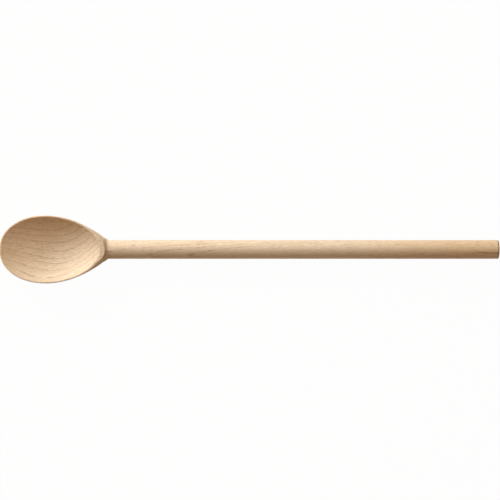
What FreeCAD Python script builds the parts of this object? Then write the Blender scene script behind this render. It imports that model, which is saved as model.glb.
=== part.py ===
import FreeCAD, Part
import math
import os

import Sketcher
from FreeCAD import Placement, Rotation, Vector

# A wooden spoon: one piece of beech with a turned round handle and a hollowed, egg-shaped head.
# It lies along X, the bowl opens towards +Z and the belly stands on Z = 0. It is drawn from the tip,
# at X = 0, and then placed with the middle of its length above the origin.

NODE = "wooden_spoon"

# Driving sizes in millimetres
SIZES = {
    "spoon_length": 300,
    "bowl_length": 63.1,
    "bowl_width": 40.9,
    "head_height": 14,
    "hollow_depth": 9,
    "rim_width": 0.9,
    "heel_width": 2.4,
    "handle_diameter": 11.3,
    "shoulder_run": 1.5,
    "rim_rounding": 0.35,
    "end_rounding": 0.8,
    "cut_overrun": 5,
}

# Where the bowl is widest and its hollow deepest along their lengths, and how much of an edge's room
# its rounding may take
SHARES = {
    "widest_share": 0.444,
    "deepest_share": 0.62,
    "rounding_share": 0.4,
}

# Sizes and places that follow from the driving ones
LAYOUT = {
    "half_width": "Sizes.bowl_width / 2",
    "handle_radius": "Sizes.handle_diameter / 2",
    "axis_height": "Sizes.head_height / 2",
    "widest_x": "Sizes.bowl_length * Sizes.widest_share",
    "shoulder_x": "Sizes.bowl_length + Sizes.shoulder_run",
    "hollow_half_width": "Layout.half_width - Sizes.rim_width",
    "hollow_heel_x": "Sizes.bowl_length - Sizes.heel_width",
    "deepest_x": "Sizes.rim_width + Sizes.deepest_share * (Layout.hollow_heel_x - Sizes.rim_width)",
}

doc = FreeCAD.newDocument("WoodenSpoon")

sizes = doc.addObject("Spreadsheet::Sheet", "Sizes")
for row, (alias, value) in enumerate({**SIZES, **SHARES}.items(), start=1):
    sizes.set(f"A{row}", alias)
    sizes.set(f"B{row}", str(value))
    sizes.setAlias(f"B{row}", alias)
doc.recompute()

layout = doc.addObject("App::VarSet", "Layout")
for name, expression in LAYOUT.items():
    layout.addProperty("App::PropertyFloat", name)
    layout.setExpression(name, expression)
doc.recompute()


# Hull of the head: ovals across the spoon, lofted from the tip over the bowl and the neck to the handle

FACING_X = Rotation(Vector(0, 1, 0), Vector(0, 0, 1), Vector(1, 0, 0), "ZXY")

CURVE_TOLERANCE_SHARE = 1e-5
CURVE_SPANS = 16
CURVE_DEGREE = 5

unit_circle = doc.addObject("Part::Feature", "UnitCircle")
half_turns = [
    Part.ArcOfCircle(Part.Circle(), math.radians(start), math.radians(start + 180)) for start in (-90, 90)
]
unit_circle.Shape = Part.Wire([
    half_turn.approximateBSpline(CURVE_TOLERANCE_SHARE, CURVE_SPANS, CURVE_DEGREE).toShape()
    for half_turn in half_turns
])


def oval(name, place, half_width, half_height, middle):
    """The unit circle stretched to a cross-section of the hull, facing along the spoon."""
    section = doc.addObject("Part::Scale", name)
    section.Base = unit_circle
    section.Uniform = False
    section.Placement = Placement(Vector(), FACING_X)
    section.setExpression("XScale", half_width)
    section.setExpression("YScale", half_height)
    section.setExpression("Placement.Base.x", place)
    section.setExpression("Placement.Base.z", middle)
    return section


def head_oval(name, place, rim_half_width, bottom, sink_share):
    """An oval whose middle lies below the rim by a share of its own half-height, or above it if negative."""
    spread_share = math.sqrt(1 - min(sink_share, 0) ** 2)
    half_height = f"(Sizes.head_height - ({bottom})) / (1 + ({sink_share}))"
    middle = f"Sizes.head_height - ({sink_share}) * {half_height}"
    return oval(name, place, f"({rim_half_width}) / {spread_share}", half_height, middle)


def pointed_end(name, place, height):
    """The point in which a loft begins or ends."""
    point = doc.addObject("Part::Vertex", name)
    point.setExpression("X", place)
    point.setExpression("Z", height)
    return point


def front_shares(count):
    """How far an oval of the blunt front lies on the way to the widest place, and how wide it is."""
    turn = math.pi / 2 * count / FRONT_OVALS
    return 1 - math.cos(turn) ** FRONT_POWER, math.sin(turn) ** FRONT_POWER


# From the tip to the widest place the rim's outline is a blunt oval, and the belly tapers a little faster
FRONT_OVALS = 6
FRONT_POWER = 0.935
BELLY_POWER = 1.3
WALL_LEAN_SHARE = -0.2

hull_sections = [pointed_end("Tip", "0", "Sizes.head_height")]

for count in range(1, FRONT_OVALS + 1):
    along_share, width_share = front_shares(count)
    rise_share = 1 - width_share ** BELLY_POWER
    hull_sections.append(head_oval(
        f"BowlOval{count}",
        f"{along_share} * Layout.widest_x",
        f"{width_share} * Layout.half_width",
        f"{rise_share} * Sizes.head_height",
        WALL_LEAN_SHARE,
    ))

# Behind it the outline narrows almost in a parabola to the handle, while the ovals sink from the rim
# to the handle's axis
NECK_POWER = 1.95
NECK_ALONG_SHARES = (0.22, 0.42, 0.58, 0.70, 0.80, 0.88, 0.945)
NECK_SINK_SHARES = (-0.14, -0.03, 0.16, 0.31, 0.49, 0.68, 0.87)

for count, (along_share, sink_share) in enumerate(zip(NECK_ALONG_SHARES, NECK_SINK_SHARES), start=1):
    width_share = 1 - along_share ** NECK_POWER
    rise_share = along_share ** 2 * (3 - 2 * along_share)
    hull_sections.append(head_oval(
        f"NeckOval{count}",
        f"Layout.widest_x + {along_share} * (Layout.shoulder_x - Layout.widest_x)",
        f"Layout.handle_radius + {width_share} * (Layout.half_width - Layout.handle_radius)",
        f"{rise_share} * (Layout.axis_height - Layout.handle_radius)",
        sink_share,
    ))

# A short, steep hollow curve leads from the heel into the round of the handle
COLLAR_RUN_SHARES = (0.2, 0.6, 1, 1.4, 1.8, 2.1)
COLLAR_WIDTH_SHARES = (0.074, 0.034, 0.009, 0.001, 0, 0)
COLLAR_HEIGHT_SHARES = (0.40, 0.18, 0.06, 0.01, 0, 0)

for count, (run_share, width_share, height_share) in enumerate(
    zip(COLLAR_RUN_SHARES, COLLAR_WIDTH_SHARES, COLLAR_HEIGHT_SHARES), start=1
):
    half_height = f"Layout.handle_radius + {height_share} * (Layout.axis_height - Layout.handle_radius)"
    hull_sections.append(oval(
        f"CollarOval{count}",
        f"Sizes.bowl_length + {run_share} * Sizes.shoulder_run",
        f"Layout.handle_radius + {width_share} * (Layout.half_width - Layout.handle_radius)",
        half_height,
        f"Layout.axis_height - Layout.handle_radius + {half_height}",
    ))

hull = doc.addObject("Part::Loft", "Hull")
hull.Sections = hull_sections
hull.Solid = True

planing = doc.addObject("Part::Box", "Planing")
planing.setExpression("Length", "Sizes.bowl_length + 2 * Sizes.cut_overrun")
planing.setExpression("Width", "Sizes.bowl_width + 2 * Sizes.cut_overrun")
planing.setExpression("Height", "2 * Sizes.head_height")
planing.setExpression("Placement.Base.x", "-Sizes.cut_overrun")
planing.setExpression("Placement.Base.y", "-Layout.half_width - Sizes.cut_overrun")
planing.setExpression("Placement.Base.z", "Sizes.head_height")

planed_hull = doc.addObject("Part::Cut", "PlanedHull")
planed_hull.Base = hull
planed_hull.Tool = planing


# Hollow: ovals inside those of the hull. In front it follows the blunt outline, and behind it keeps the
# rim's width from the narrowing outline until it closes in a round end before the heel. Its bottom falls
# gently from the tip and rises steeply to the heel, and its pointed ends lie in the air above the rim.

FRONT_DEPTH_POWER = 1.5
REAR_DEPTH_POWER = 2
HOLLOW_WALL_SHARE = -0.64
HOLLOW_LIFT_SHARE = 0.2
REAR_ALONG_SHARES = (0.25, 0.5, 0.7, 0.84, 0.93, 0.98)
REAR_RIM_SHARES = (1, 1, 0.985, 0.94, 0.9, 0.88)
CLOSING_POWER = 12


def hollow_oval(name, place, half_width):
    """An oval of the hollow, as deep as its place along the spoon asks for."""
    before_share = f"max(0; (Layout.deepest_x - ({place})) / (Layout.deepest_x - Sizes.rim_width))"
    behind_share = f"max(0; ({place} - Layout.deepest_x) / (Layout.hollow_heel_x - Layout.deepest_x))"
    rise_share = f"{before_share} ^ {FRONT_DEPTH_POWER} + {behind_share} ^ {REAR_DEPTH_POWER}"
    bottom = f"Sizes.head_height - Sizes.hollow_depth * (1 - ({rise_share}))"
    return head_oval(name, place, half_width, bottom, HOLLOW_WALL_SHARE)


hollow_top = f"Sizes.head_height + {HOLLOW_LIFT_SHARE} * Sizes.cut_overrun"
hollow_sections = [pointed_end("HollowTip", "Sizes.rim_width", hollow_top)]

for count in range(1, FRONT_OVALS + 1):
    along_share, width_share = front_shares(count)
    hollow_sections.append(hollow_oval(
        f"HollowFrontOval{count}",
        f"Sizes.rim_width + {along_share} * (Layout.widest_x - Sizes.rim_width)",
        f"{width_share} * Layout.hollow_half_width",
    ))

for count, (along_share, rim_share) in enumerate(zip(REAR_ALONG_SHARES, REAR_RIM_SHARES), start=1):
    place = f"(Layout.widest_x + {along_share} * (Layout.hollow_heel_x - Layout.widest_x))"
    neck_share = f"({place} - Layout.widest_x) / (Layout.shoulder_x - Layout.widest_x)"
    width_share = f"(1 - ({neck_share}) ^ {NECK_POWER})"
    half_width = f"Layout.handle_radius + {width_share} * (Layout.half_width - Layout.handle_radius)"
    closing_share = math.sqrt(1 - along_share ** CLOSING_POWER)
    hollow_sections.append(hollow_oval(
        f"HollowRearOval{count}",
        place,
        f"{closing_share} * ({rim_share} * ({half_width}) - Sizes.rim_width)",
    ))

hollow_sections.append(pointed_end("HollowHeel", "Layout.hollow_heel_x", hollow_top))

hollow = doc.addObject("Part::Loft", "Hollow")
hollow.Sections = hollow_sections
hollow.Solid = True

head = doc.addObject("Part::Cut", "Head")
head.Base = planed_hull
head.Tool = hollow

spoon = doc.addObject("PartDesign::Body", "Spoon")
spoon.Label = NODE
spoon.BaseFeature = head
spoon.setExpression("Placement.Base.x", "-Sizes.spoon_length / 2")
doc.recompute()


def sketch_on(role, name):
    """A sketch on one of the spoon's own origin planes."""
    sketch = spoon.newObject("Sketcher::SketchObject", name)
    plane = next(p for p in spoon.Origin.OriginFeatures if p.Role == role)
    sketch.AttachmentSupport = [(plane, "")]
    sketch.MapMode = "FlatFace"
    return sketch


def dimension(sketch, kind, *reference, length):
    """A driving dimension of a sketch, bound to the sheet or the layout."""
    index = sketch.addConstraint(Sketcher.Constraint(kind, *reference, sketch.evalExpression(length)))
    sketch.setExpression(f"Constraints[{index}]", length)


# Handle: a plain round bar from the neck to the square-cut end

HANDLE_START = f"Sizes.bowl_length + {COLLAR_RUN_SHARES[-1]} * Sizes.shoulder_run"

handle_sketch = sketch_on("YZ_Plane", "HandleSketch")
handle_sketch.setExpression("AttachmentOffset.Base.z", HANDLE_START)
handle_sketch.addGeometry(Part.Circle(Vector(0, layout.axis_height), Vector(0, 0, 1), layout.handle_radius))
handle_sketch.addConstraint(Sketcher.Constraint("PointOnObject", 0, 3, -2))
dimension(handle_sketch, "DistanceY", -1, 1, 0, 3, length="Layout.axis_height")
dimension(handle_sketch, "Radius", 0, length="Layout.handle_radius")

handle = spoon.newObject("PartDesign::Pad", "Handle")
handle.Profile = handle_sketch
handle.setExpression("Length", f"Sizes.spoon_length - ({HANDLE_START})")
doc.recompute()
if handle.Shape.Volume <= head.Shape.Volume:
    raise RuntimeError("The handle added no wood")


# Edges: the rim's outer edge and the end of the handle are sanded round

def face_edges(feature, normal):
    """Names of the outer edges of the flat face that looks along a direction."""
    face = next(
        f for f in feature.Shape.Faces
        if isinstance(f.Surface, Part.Plane) and f.normalAt(0, 0).isEqual(normal, 1e-6)
    )
    return [
        f"Edge{number}" for number, edge in enumerate(feature.Shape.Edges, start=1)
        if any(edge.isSame(side) for side in face.OuterWire.Edges)
    ]


def rounded_edges(name, base, normal, radius):
    """A fillet around a flat face."""
    rounding = spoon.newObject("PartDesign::Fillet", name)
    rounding.Base = (base, face_edges(base, normal))
    rounding.setExpression("Radius", radius)
    doc.recompute()
    if len(rounding.Shape.Faces) <= len(base.Shape.Faces):
        raise RuntimeError(f"{name} added no rounded face")
    return rounding


rim_edge = rounded_edges(
    "RimEdge", handle, Vector(0, 0, 1),
    "min(Sizes.rim_rounding; Sizes.rounding_share * Sizes.rim_width)",
)
end_edge = rounded_edges(
    "EndEdge", rim_edge, Vector(1, 0, 0),
    "min(Sizes.end_rounding; Sizes.rounding_share * Layout.handle_radius)",
)


# Check and write the spoon

for item in doc.Objects:
    if "Invalid" in item.State or "Error" in item.State:
        raise RuntimeError(f"{item.Name} failed: {item.State}")
shape = spoon.Shape
if shape.isNull() or not shape.isValid() or len(shape.Solids) != 1:
    raise RuntimeError("The spoon isn't one valid solid")

os.makedirs("parts", exist_ok=True)
shape.exportStep(f"parts/{spoon.Label}.step")
print(f"{spoon.Label}: {shape.Volume:.0f} cubic millimetres")
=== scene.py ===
import math

import bpy
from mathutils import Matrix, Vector

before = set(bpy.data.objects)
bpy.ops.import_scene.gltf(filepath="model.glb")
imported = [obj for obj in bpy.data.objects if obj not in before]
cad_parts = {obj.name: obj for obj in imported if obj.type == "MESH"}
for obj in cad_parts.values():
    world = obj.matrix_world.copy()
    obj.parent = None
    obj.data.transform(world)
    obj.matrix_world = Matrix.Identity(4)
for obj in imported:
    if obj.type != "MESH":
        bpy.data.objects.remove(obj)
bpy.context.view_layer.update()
bpy.ops.object.select_all(action="DESELECT")


# The spoon: one length of pale beech, turned round at the handle, hollowed at the head and sanded by hand.
# It has no varnish, so growth rings, ray flecks, fibres and open end grain all show on its surface.
# Only the handle has a faint shine.

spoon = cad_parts["wooden_spoon"]
beech = bpy.data.materials.new("sanded_beech")
beech.use_nodes = True
tree = beech.node_tree
tree.nodes.clear()

FALLING = (1.0, 0.0)


def put(tree, term, socket):
    """Sets a socket to a plain value, or joins another node's output to it."""
    if isinstance(term, bpy.types.NodeSocket):
        tree.links.new(term, socket)
    else:
        socket.default_value = term


def add(tree, kind, inputs=None, **settings):
    """A node with its settings, and with a plain value or another node's output at each named input."""
    node = tree.nodes.new(kind)
    for name, setting in settings.items():
        setattr(node, name, setting)
    for name, term in (inputs or {}).items():
        put(tree, term, node.inputs[name])
    return node


def math_node(tree, operation, *terms):
    """The result of one sum, whose terms are numbers or outputs of other nodes."""
    return add(tree, "ShaderNodeMath", dict(enumerate(terms)), operation=operation).outputs["Value"]


def weighed(tree, *terms):
    """The sum of several outputs, each times its own share."""
    total = 0.0
    for value, share in terms:
        total = math_node(tree, "MULTIPLY_ADD", value, share, total)
    return total


def span(tree, value, ends, results=(0.0, 1.0)):
    """A value between two ends, spread smoothly over two results."""
    inputs = dict(zip(("From Min", "From Max", "To Min", "To Max"), (*ends, *results)), Value=value)
    return add(tree, "ShaderNodeMapRange", inputs, interpolation_type="SMOOTHSTEP").outputs["Result"]


def stretched(tree, place, scale):
    """The place in the wood, drawn out by a scale for each direction."""
    return add(tree, "ShaderNodeMapping", {"Vector": place, "Scale": scale}).outputs["Vector"]


def noise(tree, place, scale, detail=3.0, roughness=0.55):
    """A cloudy value around the middle of 0 to 1, with a scale for each direction."""
    inputs = {"Vector": stretched(tree, place, scale), "Scale": 1.0, "Detail": detail, "Roughness": roughness}
    return add(tree, "ShaderNodeTexNoise", inputs).outputs["Fac"]


def spots(tree, place, scale, ends):
    """Small lens-shaped marks, 1 inside and 0 outside."""
    cells = add(tree, "ShaderNodeTexVoronoi", {"Vector": stretched(tree, place, scale), "Scale": 1.0})
    return span(tree, cells.outputs["Distance"], ends, FALLING)


def tinted(tree, colour, share, tint, blend="MULTIPLY"):
    """A colour with a second one laid over it by a share."""
    node = add(tree, "ShaderNodeMix", data_type="RGBA", blend_type=blend)
    inputs = {socket.identifier: socket for socket in node.inputs}
    for name, term in (("Factor_Float", share), ("A_Color", colour), ("B_Color", tint)):
        put(tree, term, inputs[name])
    return next(socket for socket in node.outputs if socket.identifier == "Result_Color")


# The trunk that the spoon was cut from: the place along it, around its core line and out from that line
PITH = Vector((0.0, -0.01285, 0.02535))
MEAN_RADIUS = 0.022

place = add(tree, "ShaderNodeTexCoord").outputs["Object"]
from_pith = add(tree, "ShaderNodeVectorMath", {0: place, 1: PITH}, operation="SUBTRACT").outputs["Vector"]
ways = add(tree, "ShaderNodeSeparateXYZ", {"Vector": from_pith}).outputs
along, aside, above = ways["X"], ways["Y"], ways["Z"]
outward = add(tree, "ShaderNodeCombineXYZ", {"Y": aside, "Z": above}).outputs["Vector"]
radius = add(tree, "ShaderNodeVectorMath", {0: outward}, operation="LENGTH").outputs["Value"]
below = math_node(tree, "MULTIPLY", above, -1.0)
around = math_node(tree, "MULTIPLY", math_node(tree, "ARCTAN2", aside, below), MEAN_RADIUS)
trunk = add(tree, "ShaderNodeCombineXYZ", {"X": along, "Y": around, "Z": radius}).outputs["Vector"]

# Growth rings: a thin dark line at the end of each year, after wood that darkens towards it.
# The rings lean along the trunk, wander a little, break up in places and fade at the spoon's tip.
RING_RADII = (0.0102, 0.0121, 0.0144, 0.0165, 0.0188, 0.0204, 0.0229, 0.0258, 0.0279, 0.0303)
LINE_STARTS_BEFORE = 0.00026
LINE_FULL_BEFORE = 0.00002
LINE_GONE_AFTER = 0.00022
LATE_WOOD_STARTS_BEFORE = 0.0017
RING_SLOPE = -0.0787
RING_SLOPE_FROM = -0.119
NOISE_MIDDLE = 0.5
WAVE_SCALE, WAVE_SIZE = (14, 60, 60), 0.0014
JAG_SCALE, JAG_SIZE = (420, 900, 300), 0.0007
BREAK_SCALE, BREAK_ENDS, BREAK_RANGE = (130, 500, 300), (0.38, 0.58), (0.22, 1.0)
TIP_LINE_ENDS, TIP_LINE_RANGE = (-0.148, -0.131), (0.35, 1.0)

slope = math_node(tree, "SUBTRACT", along, RING_SLOPE_FROM)
wave = math_node(tree, "SUBTRACT", noise(tree, place, WAVE_SCALE, detail=1.0), NOISE_MIDDLE)
jag = math_node(tree, "SUBTRACT", noise(tree, trunk, JAG_SCALE, detail=2.0), NOISE_MIDDLE)
lean = weighed(tree, (slope, RING_SLOPE), (wave, WAVE_SIZE), (jag, JAG_SIZE))
grown = math_node(tree, "ADD", radius, lean)
ring_line = 0.0
late_wood = 0.0
for ring in RING_RADII:
    year_end = span(tree, grown, (ring, ring + LINE_GONE_AFTER), FALLING)
    line = span(tree, grown, (ring - LINE_STARTS_BEFORE, ring - LINE_FULL_BEFORE))
    summer = span(tree, grown, (ring - LATE_WOOD_STARTS_BEFORE, ring))
    ring_line = math_node(tree, "MAXIMUM", ring_line, math_node(tree, "MULTIPLY", line, year_end))
    late_wood = math_node(tree, "MAXIMUM", late_wood, math_node(tree, "MULTIPLY", summer, year_end))
broken = span(tree, noise(tree, trunk, BREAK_SCALE), BREAK_ENDS, BREAK_RANGE)
near_tip = span(tree, along, TIP_LINE_ENDS, TIP_LINE_RANGE)
ring_line = math_node(tree, "MULTIPLY", ring_line, math_node(tree, "MULTIPLY", broken, near_tip))

# Broad clouds, and mottle, streaks, fibres, ray flecks and pores that lie along the grain
BROAD_SCALE = (9, 80, 80)
MOTTLE_SCALE = (210, 1500, 800)
STREAK_SCALE = (85, 900, 700)
FIBRE_SCALE = (120, 4200, 1400)
FLECK_SCALE, FLECK_ENDS = (270, 1500, 700), (0.22, 0.44)
FLECK_PATCH_SCALE, FLECK_PATCH_ENDS, FLECK_PATCH_RANGE = (60, 300, 60), (0.35, 0.65), (0.3, 1.0)
PALE_FLECK_SCALE, PALE_FLECK_ENDS = (226, 1365, 700), (0.17, 0.39)
PORE_SCALE, PORE_ENDS = (300, 3600, 2400), (0.10, 0.30)

broad = noise(tree, place, BROAD_SCALE, detail=2.0)
mottle = noise(tree, trunk, MOTTLE_SCALE, detail=2.0)
streak = noise(tree, trunk, STREAK_SCALE, detail=4.0, roughness=0.65)
fibre = noise(tree, trunk, FIBRE_SCALE)
patch = span(tree, noise(tree, trunk, FLECK_PATCH_SCALE), FLECK_PATCH_ENDS, FLECK_PATCH_RANGE)
fleck = math_node(tree, "MULTIPLY", spots(tree, trunk, FLECK_SCALE, FLECK_ENDS), patch)
pale_fleck = spots(tree, trunk, PALE_FLECK_SCALE, PALE_FLECK_ENDS)
pore = spots(tree, trunk, PORE_SCALE, PORE_ENDS)

# Marks with a place on the spoon: painted shade over the bowl's tip and upper side and towards the handle's
# end, a dark vein that frays out near that end, end grain where the wood is cut across, and a dark edge
# around the sawn end that is partly end grain and partly painted shade
# Painted shade: a slant over the bowl's tip and upper side, the side the lamp reaches least, browns the wood
# there
BOWL_SHADE_SLANT, BOWL_SHADE_ENDS = 1.3, (0.118, 0.165)
# Painted shade: the handle darkens towards its end, which lies further from the lamp
HANDLE_END_SHADE_ENDS = (0.045, 0.130)
VEIN_SIDE = -0.0021
VEIN_HALF_WIDTHS = (0.0002, 0.0010)
VEIN_ENDS, VEIN_FRAY = (0.136, 0.152), 0.02
END_GRAIN_ENDS = (0.45, 0.95)
END_FACE_ENDS = (0.80, 0.98)
# Partly end grain and partly painted shade: the rounding around the sawn end, which faces away from the lamp
END_EDGE_GRAIN_AND_SHADE_ENDS = (0.1486, 0.1495)

normal = add(tree, "ShaderNodeNewGeometry").outputs["Normal"]
lengthwise = add(tree, "ShaderNodeSeparateXYZ", {"Vector": normal}).outputs["X"]
cut_across = math_node(tree, "ABSOLUTE", lengthwise)
off_end_face = span(tree, cut_across, END_FACE_ENDS, FALLING)
# Painted shade: this slant grows towards the bowl's tip and its upper side
bowl_shade_side = math_node(tree, "SUBTRACT", math_node(tree, "MULTIPLY", aside, BOWL_SHADE_SLANT), along)
beside_vein = math_node(tree, "ABSOLUTE", math_node(tree, "SUBTRACT", aside, VEIN_SIDE - PITH.y))
frayed = span(tree, math_node(tree, "MULTIPLY_ADD", streak, VEIN_FRAY, along), VEIN_ENDS)
vein = math_node(tree, "MULTIPLY", span(tree, beside_vein, VEIN_HALF_WIDTHS, FALLING), frayed)
vein = math_node(tree, "MULTIPLY", vein, off_end_face)
# The dark edge around the sawn end: partly end grain, partly painted shade
end_edge_grain_and_shade = math_node(tree, "MULTIPLY", span(tree, along, END_EDGE_GRAIN_AND_SHADE_ENDS), off_end_face)

# The colour: pale wood that the layers of grain deepen by their shares, and then the tint of each mark
WOOD_PALE = (0.875, 0.696, 0.477, 1)
WOOD_DEEP = (0.715, 0.522, 0.322, 1)
BROAD_ENDS, BROAD_SHARE = (0.30, 0.70), 0.22
MOTTLE_ENDS, MOTTLE_SHARE = (0.30, 0.70), 0.26
STREAK_ENDS, STREAK_SHARE = (0.34, 0.66), 0.30
FIBRE_ENDS, FIBRE_SHARE = (0.28, 0.72), 0.24
LATE_WOOD_SHARE = 0.16
RING_TINT, RING_STRENGTH = (0.66, 0.55, 0.45, 1), 0.70
FLECK_TINT, FLECK_STRENGTH = (0.70, 0.60, 0.50, 1), 0.46
PALE_FLECK_TINT, PALE_FLECK_STRENGTH = (1.09, 1.10, 1.12, 1), 0.55
PORE_TINT, PORE_STRENGTH = (0.74, 0.65, 0.56, 1), 0.55
# Painted shade darkening the handle towards its end
HANDLE_END_SHADE_TINT = (0.91, 0.83, 0.72, 1)
# Painted shade browning the bowl's tip and upper side
BOWL_SHADE_TINT = (0.97, 0.89, 0.80, 1)
VEIN_TINT = (0.72, 0.58, 0.42, 1)
END_GRAIN_TINT = (0.82, 0.74, 0.66, 1)
# Partly end grain and partly painted shade on the rounding around the sawn end
END_EDGE_GRAIN_AND_SHADE_TINT = (0.60, 0.47, 0.37, 1)

depth = weighed(
    tree,
    (span(tree, broad, BROAD_ENDS), BROAD_SHARE),
    (span(tree, mottle, MOTTLE_ENDS), MOTTLE_SHARE),
    (span(tree, streak, STREAK_ENDS), STREAK_SHARE),
    (late_wood, LATE_WOOD_SHARE),
    (span(tree, fibre, FIBRE_ENDS), FIBRE_SHARE),
)
colour = tinted(tree, WOOD_PALE, depth, WOOD_DEEP, blend="MIX")
for mark, tint in (
    (math_node(tree, "MULTIPLY", ring_line, RING_STRENGTH), RING_TINT),
    (math_node(tree, "MULTIPLY", fleck, FLECK_STRENGTH), FLECK_TINT),
    (math_node(tree, "MULTIPLY", pale_fleck, PALE_FLECK_STRENGTH), PALE_FLECK_TINT),
    (math_node(tree, "MULTIPLY", pore, PORE_STRENGTH), PORE_TINT),
    # Painted shade towards the handle's end
    (span(tree, along, HANDLE_END_SHADE_ENDS), HANDLE_END_SHADE_TINT),
    # Painted shade over the bowl's tip and upper side
    (span(tree, bowl_shade_side, BOWL_SHADE_ENDS), BOWL_SHADE_TINT),
    (vein, VEIN_TINT),
    (span(tree, cut_across, END_GRAIN_ENDS), END_GRAIN_TINT),
    # The sawn end's edge: partly end grain, partly painted shade
    (end_edge_grain_and_shade, END_EDGE_GRAIN_AND_SHADE_TINT),
):
    colour = tinted(tree, colour, mark, tint)

# The sanded surface: raised fibres, sunken pores, flecks and year lines, a dull fuzz, and a burnished handle
MOTTLE_RISE, FIBRE_RISE = 0.4, 0.6
PORE_DIP, FLECK_DIP, LINE_DIP = 0.4, 0.3, 0.3
RELIEF_STRENGTH, RELIEF_HEIGHT = 0.85, 0.0001
ROUGHNESS_ENDS, ROUGHNESS_RANGE = (0.2, 0.8), (0.50, 0.64)
REFLECTION_LEVEL = 0.18
BURNISH_ENDS, BURNISH_RANGE, BURNISH_ROUGHNESS = (-0.092, -0.068), (0.0, 0.25), 0.45
FUZZ_WEIGHT, FUZZ_ROUGHNESS = 0.15, 0.45

height = weighed(
    tree,
    (mottle, MOTTLE_RISE),
    (fibre, FIBRE_RISE),
    (pore, -PORE_DIP),
    (fleck, -FLECK_DIP),
    (ring_line, -LINE_DIP),
)
relief = add(tree, "ShaderNodeBump", {
    "Height": height,
    "Strength": RELIEF_STRENGTH,
    "Distance": RELIEF_HEIGHT,
})
shader = add(tree, "ShaderNodeBsdfPrincipled", {
    "Base Color": colour,
    "Roughness": span(tree, fibre, ROUGHNESS_ENDS, ROUGHNESS_RANGE),
    "Normal": relief.outputs["Normal"],
    "Specular IOR Level": REFLECTION_LEVEL,
    "Coat Weight": span(tree, along, BURNISH_ENDS, BURNISH_RANGE),
    "Coat Roughness": BURNISH_ROUGHNESS,
    "Sheen Weight": FUZZ_WEIGHT,
    "Sheen Roughness": FUZZ_ROUGHNESS,
})
add(tree, "ShaderNodeOutputMaterial", {"Surface": shader.outputs["BSDF"]})

spoon.data.materials.clear()
spoon.data.materials.append(beech)


# The floor: a wide sheet of pale paper. The spoon lies on it with its belly and with the handle's end.
# The spoon's frame has the handle level, so the sheet tilts by the small angle between those two places.
# To the camera the paper is almost pure white with a faint shadow, and the light that it throws is cream.

BELLY_TOUCH = Vector((-0.122, 0.0, 0.0))
END_TOUCH = Vector((0.1492, 0.0, 0.00135))
FLOOR_GAP = Vector((0.0, 0.0, 0.00001))
FLOOR_SIZE = 6.0
PAPER_CREAM = (0.90, 0.80, 0.68, 1)
PAPER_GLOW_SHARE = 0.975


def looked_at(tree):
    """1 for what the camera sees, straight, mirrored or through glass, and 0 for light on other things."""
    path = add(tree, "ShaderNodeLightPath").outputs
    straight_or_mirrored = math_node(tree, "MAXIMUM", path["Is Camera Ray"], path["Is Glossy Ray"])
    return math_node(tree, "MAXIMUM", straight_or_mirrored, path["Is Transmission Ray"])


bpy.ops.mesh.primitive_plane_add(size=FLOOR_SIZE)
floor = bpy.context.object
floor.name = "floor"
floor_rise = math.atan2(END_TOUCH.z - BELLY_TOUCH.z, END_TOUCH.x - BELLY_TOUCH.x)
floor.rotation_euler = (0.0, -floor_rise, 0.0)
floor.location = BELLY_TOUCH - FLOOR_GAP

paper = bpy.data.materials.new("white_paper")
paper.use_nodes = True
tree = paper.node_tree
tree.nodes.clear()
matte = add(tree, "ShaderNodeBsdfDiffuse", {"Color": PAPER_CREAM})
glow = add(tree, "ShaderNodeEmission")
cover = add(tree, "ShaderNodeMixShader", {
    "Fac": math_node(tree, "MULTIPLY", looked_at(tree), PAPER_GLOW_SHARE),
    1: matte.outputs["BSDF"],
    2: glow.outputs["Emission"],
})
add(tree, "ShaderNodeOutputMaterial", {"Surface": cover.outputs["Shader"]})
floor.data.materials.append(paper)


# Light: one large soft lamp of slightly cool white, from the upper left of the picture.
# The room around the spoon fills in with an even, warmer light, and itself looks plain white.

LAMP_DIRECTION = Vector((-0.57, 0.69, 0.45)).normalized()
LAMP_DISTANCE = 1.2
LAMP_SIZE = 0.9
LAMP_LEVEL = 1.54
LAMP_TINT = (0.83, 0.90, 1.0)
ROOM_LEVEL = 0.26
ROOM_TINT = (1.0, 0.70, 0.49, 1)
PLAIN_WHITE = (1.0, 1.0, 1.0, 1)

lamp_data = bpy.data.lights.new("soft_lamp", "AREA")
lamp_data.size = LAMP_SIZE
lamp_data.color = LAMP_TINT
lamp_data.energy = LAMP_LEVEL * (math.pi * LAMP_DISTANCE) ** 2
lamp = bpy.data.objects.new("soft_lamp", lamp_data)
lamp.location = LAMP_DIRECTION * LAMP_DISTANCE
lamp.rotation_euler = LAMP_DIRECTION.to_track_quat("Z", "Y").to_euler()
bpy.context.scene.collection.objects.link(lamp)

room = bpy.data.worlds.new("room")
room.use_nodes = True
tree = room.node_tree
tree.nodes.clear()
seen = looked_at(tree)
air = add(tree, "ShaderNodeBackground", {
    "Strength": span(tree, seen, (0.0, 1.0), (ROOM_LEVEL, 1.0)),
    "Color": tinted(tree, ROOM_TINT, seen, PLAIN_WHITE, blend="MIX"),
})
add(tree, "ShaderNodeOutputWorld", {"Surface": air.outputs["Background"]})
bpy.context.scene.world = room


# Camera: it hangs straight above the spoon with a long lens, so the picture shows hardly any slant.
# The spoon lies across the whole width of the picture, with its tip at the left.

PICTURE_WIDTH = 0.3004
PICTURE_MIDDLE = (0.0002, -0.00033)
CAMERA_HEIGHT = 1.2
SPOON_LEVEL = 0.0105

camera_data = bpy.data.cameras.new("camera")
camera_data.lens = camera_data.sensor_width * CAMERA_HEIGHT / PICTURE_WIDTH
camera = bpy.data.objects.new("camera", camera_data)
camera.location = (*PICTURE_MIDDLE, SPOON_LEVEL + CAMERA_HEIGHT)
bpy.context.scene.collection.objects.link(camera)
bpy.context.scene.camera = camera

bpy.context.scene.view_settings.view_transform = "Standard"
